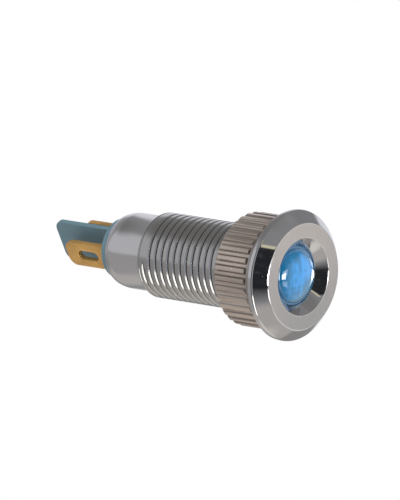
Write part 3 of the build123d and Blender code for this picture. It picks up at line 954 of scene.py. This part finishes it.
def hang_lamp(name, azimuth, elevation, distance, size, power):
    """Square lamp that lights the object from a direction given in degrees, and isn't seen in its metal."""
    turn, height = math.radians(azimuth), math.radians(elevation)
    target = Vector((0, STAGE_MIDDLE, 0))
    data = bpy.data.lights.new(name, "AREA")
    data.shape = "SQUARE"
    data.size = size
    data.energy = power
    lamp = bpy.data.objects.new(name, data)
    lamp.location = target + distance * Vector(
        (math.sin(turn) * math.cos(height), -math.cos(turn) * math.cos(height), math.sin(height))
    )
    lamp.rotation_euler = (target - lamp.location).to_track_quat("-Z", "Y").to_euler()
    lamp.visible_glossy = False
    bpy.context.scene.collection.objects.link(lamp)


def set_camera():
    """Camera at the photograph's angle: the part a little left of and above the picture's middle."""
    data = bpy.data.cameras.new("camera")
    data.sensor_fit = "VERTICAL"
    data.sensor_height = 24.0
    data.lens = CAMERA_LENS
    data.clip_start = 0.05
    data.clip_end = 20.0
    camera = bpy.data.objects.new("camera", data)
    camera.location = CAMERA_PLACE
    camera.rotation_euler = (math.pi / 2 - CAMERA_ELEVATION, 0, CAMERA_AZIMUTH)
    bpy.context.scene.collection.objects.link(camera)
    bpy.context.scene.camera = camera


class PilotOperator:
    """What the operators share: undo, and the sizes and colours of the scene."""

    bl_options = {"REGISTER", "UNDO"}

    def read(self, context):
        return context.scene.pilot_sizes, context.scene.pilot_colours


class PILOT_OT_body(PilotOperator, bpy.types.Operator):
    """Turn the body, cut its thread and plate it"""

    bl_idname = "pilot.body"
    bl_label = "Body"

    def execute(self, context):
        turn_body(*self.read(context))
        return {"FINISHED"}


class PILOT_OT_nut(PilotOperator, bpy.types.Operator):
    """Turn the nut and cut its flutes"""

    bl_idname = "pilot.nut"
    bl_label = "Nut"

    def execute(self, context):
        cut_nut(*self.read(context))
        return {"FINISHED"}


class PILOT_OT_washer(PilotOperator, bpy.types.Operator):
    """Finish the lock washer"""

    bl_idname = "pilot.washer"
    bl_label = "Lock washer"

    def execute(self, context):
        plating = speckled_finish(
            "washer plating", (0.36, 0.33, 0.31), (0.50, 0.46, 0.43), metallic=1.0, roughness=0.3
        )
        repaint("lock_washer", plating)
        return {"FINISHED"}


class PILOT_OT_seal(PilotOperator, bpy.types.Operator):
    """Mould the panel seal"""

    bl_idname = "pilot.seal"
    bl_label = "Panel seal"

    def execute(self, context):
        mould_seal(self.read(context)[1])
        return {"FINISHED"}


class PILOT_OT_lens(PilotOperator, bpy.types.Operator):
    """Mould the lens"""

    bl_idname = "pilot.lens"
    bl_label = "Lens"

    def execute(self, context):
        mould_lens(*self.read(context))
        return {"FINISHED"}


class PILOT_OT_lugs(PilotOperator, bpy.types.Operator):
    """Stamp the two solder lugs"""

    bl_idname = "pilot.lugs"
    bl_label = "Solder lugs"

    def execute(self, context):
        sizes, colours = self.read(context)
        material = gold_finish(colours)
        stamp_lug("positive_lug", "terminal_positive", 1, sizes, material)
        stamp_lug("negative_lug", "terminal_negative", -1, sizes, material)
        return {"FINISHED"}


class PILOT_OT_insulator(PilotOperator, bpy.types.Operator):
    """Finish the insulator and its fin"""

    bl_idname = "pilot.insulator"
    bl_label = "Insulator"

    def execute(self, context):
        repaint("insulator", insulator_finish(self.read(context)[1]))
        return {"FINISHED"}


class PILOT_OT_inside(PilotOperator, bpy.types.Operator):
    """Finish the pieces inside the barrel"""

    bl_idname = "pilot.inside"
    bl_label = "Inside pieces"

    def execute(self, context):
        tinned = speckled_finish(
            "tinned steel", (0.52, 0.52, 0.52), (0.68, 0.68, 0.67), metallic=1.0, roughness=0.3
        )
        finishes = {
            "led_bulb": speckled_finish(
                "clear epoxy",
                (0.90, 0.94, 0.97),
                (0.96, 0.98, 1.0),
                transmission=1.0,
                roughness=0.1,
                ior=1.54,
            ),
            "led_anode": tinned,
            "led_cathode": tinned,
            "resistor_leads": tinned,
            "diode_leads": tinned,
            "led_chip": speckled_finish("chip", (0.10, 0.22, 0.34), (0.22, 0.36, 0.48), grain=9000.0),
            "led_bond_wire": speckled_finish(
                "bond wire", (0.7, 0.48, 0.2), (0.8, 0.56, 0.25), metallic=1.0
            ),
            "led_holder": speckled_finish("white nylon", (0.74, 0.74, 0.71), (0.82, 0.82, 0.80)),
            "lens_seal": speckled_finish(
                "clear silicone", (0.66, 0.66, 0.62), (0.76, 0.76, 0.73), transmission=0.5
            ),
            "insulating_sleeve": speckled_finish("sleeve film", (0.02, 0.02, 0.02), (0.035, 0.035, 0.04)),
            "circuit_disc": speckled_finish(
                "glass board", (0.03, 0.14, 0.06), (0.06, 0.22, 0.09), grain=4000.0
            ),
            "series_resistor": speckled_finish("resistor enamel", (0.52, 0.40, 0.24), (0.60, 0.47, 0.30)),
            "protection_diode": speckled_finish(
                "amber glass", (0.60, 0.24, 0.07), (0.72, 0.32, 0.10), transmission=0.7, roughness=0.1
            ),
            "solder_joints": speckled_finish(
                "solder", (0.55, 0.55, 0.56), (0.72, 0.72, 0.73), metallic=1.0
            ),
        }
        for node, material in finishes.items():
            repaint(node, material)
        return {"FINISHED"}


class PILOT_OT_stage(PilotOperator, bpy.types.Operator):
    """Set the floor, the studio, the lamps and the camera"""

    bl_idname = "pilot.stage"
    bl_label = "Stage"

    def execute(self, context):
        colours = self.read(context)[1]
        studio_world()
        lay_floor(colours)
        hang_lamp("key lamp", azimuth=-95, elevation=55, distance=0.5, size=0.35, power=2.2)
        hang_lamp("fill lamp", azimuth=20, elevation=30, distance=0.6, size=0.4, power=0.9)
        set_camera()
        view = context.scene.view_settings
        view.view_transform = "Standard"
        return {"FINISHED"}


OPERATORS = (
    PILOT_OT_body,
    PILOT_OT_nut,
    PILOT_OT_washer,
    PILOT_OT_seal,
    PILOT_OT_lens,
    PILOT_OT_lugs,
    PILOT_OT_insulator,
    PILOT_OT_inside,
    PILOT_OT_stage,
)


class PILOT_PT_sidebar(bpy.types.Panel):
    """Lists the sizes, colours and pieces of the pilot light"""

    bl_idname = "PILOT_PT_sidebar"
    bl_label = "Pilot light"
    bl_space_type = "VIEW_3D"
    bl_region_type = "UI"
    bl_category = "Pilot light"

    def draw(self, context):
        for group in (context.scene.pilot_sizes, context.scene.pilot_colours):
            column = self.layout.column(align=True)
            for name in group.__annotations__:
                column.prop(group, name)
        for operator in OPERATORS:
            self.layout.operator(operator.bl_idname)


CLASSES = (PilotSizes, PilotColours, *OPERATORS, PILOT_PT_sidebar)


def register():
    for item in CLASSES:
        bpy.utils.register_class(item)
    bpy.types.Scene.pilot_sizes = bpy.props.PointerProperty(type=PilotSizes)
    bpy.types.Scene.pilot_colours = bpy.props.PointerProperty(type=PilotColours)


def unregister():
    del bpy.types.Scene.pilot_colours
    del bpy.types.Scene.pilot_sizes
    for item in reversed(CLASSES):
        bpy.utils.unregister_class(item)


def main():
    """Builds every piece and the stage."""
    register()
    bpy.ops.pilot.body()
    bpy.ops.pilot.nut()
    bpy.ops.pilot.washer()
    bpy.ops.pilot.seal()
    bpy.ops.pilot.lens()
    bpy.ops.pilot.lugs()
    bpy.ops.pilot.insulator()
    bpy.ops.pilot.inside()
    bpy.ops.pilot.stage()


if __name__ == "__main__":
    main()
